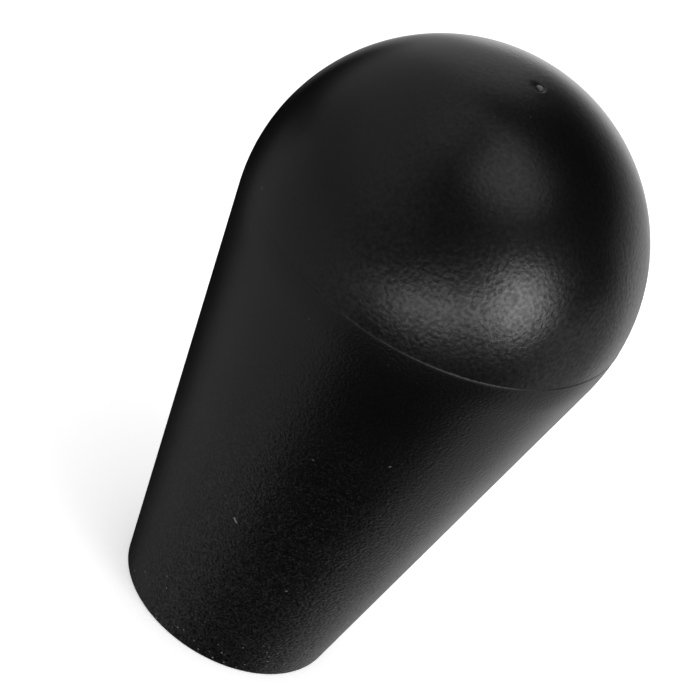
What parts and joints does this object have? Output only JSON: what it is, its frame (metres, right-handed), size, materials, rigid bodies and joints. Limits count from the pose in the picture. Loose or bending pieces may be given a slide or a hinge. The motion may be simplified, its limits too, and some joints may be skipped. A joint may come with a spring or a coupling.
{
  "type": "bat-top handle of an arcade joystick lever",
  "caption": "Moulded bat-top handle, a ball running into a cone, with a moulded-in metal insert in its foot that screws onto the threaded end of a joystick lever.",
  "frame": {"origin": "centre of the flat foot of the handle", "axes": "+Z along the axis of the handle, from the foot up to the crown of the ball; X and Y lie in the plane of the foot"},
  "size_m": [0.03, 0.03, 0.0518],
  "materials": {
    "moulded_plastic": "black, fine matt moulded grain",
    "insert_brass": "turned and tapped, knurled outside"
  },
  "bodies": {
    "root": {"handle_body": "moulded_plastic", "threaded_insert": "insert_brass"}
  },
  "joints": []
}
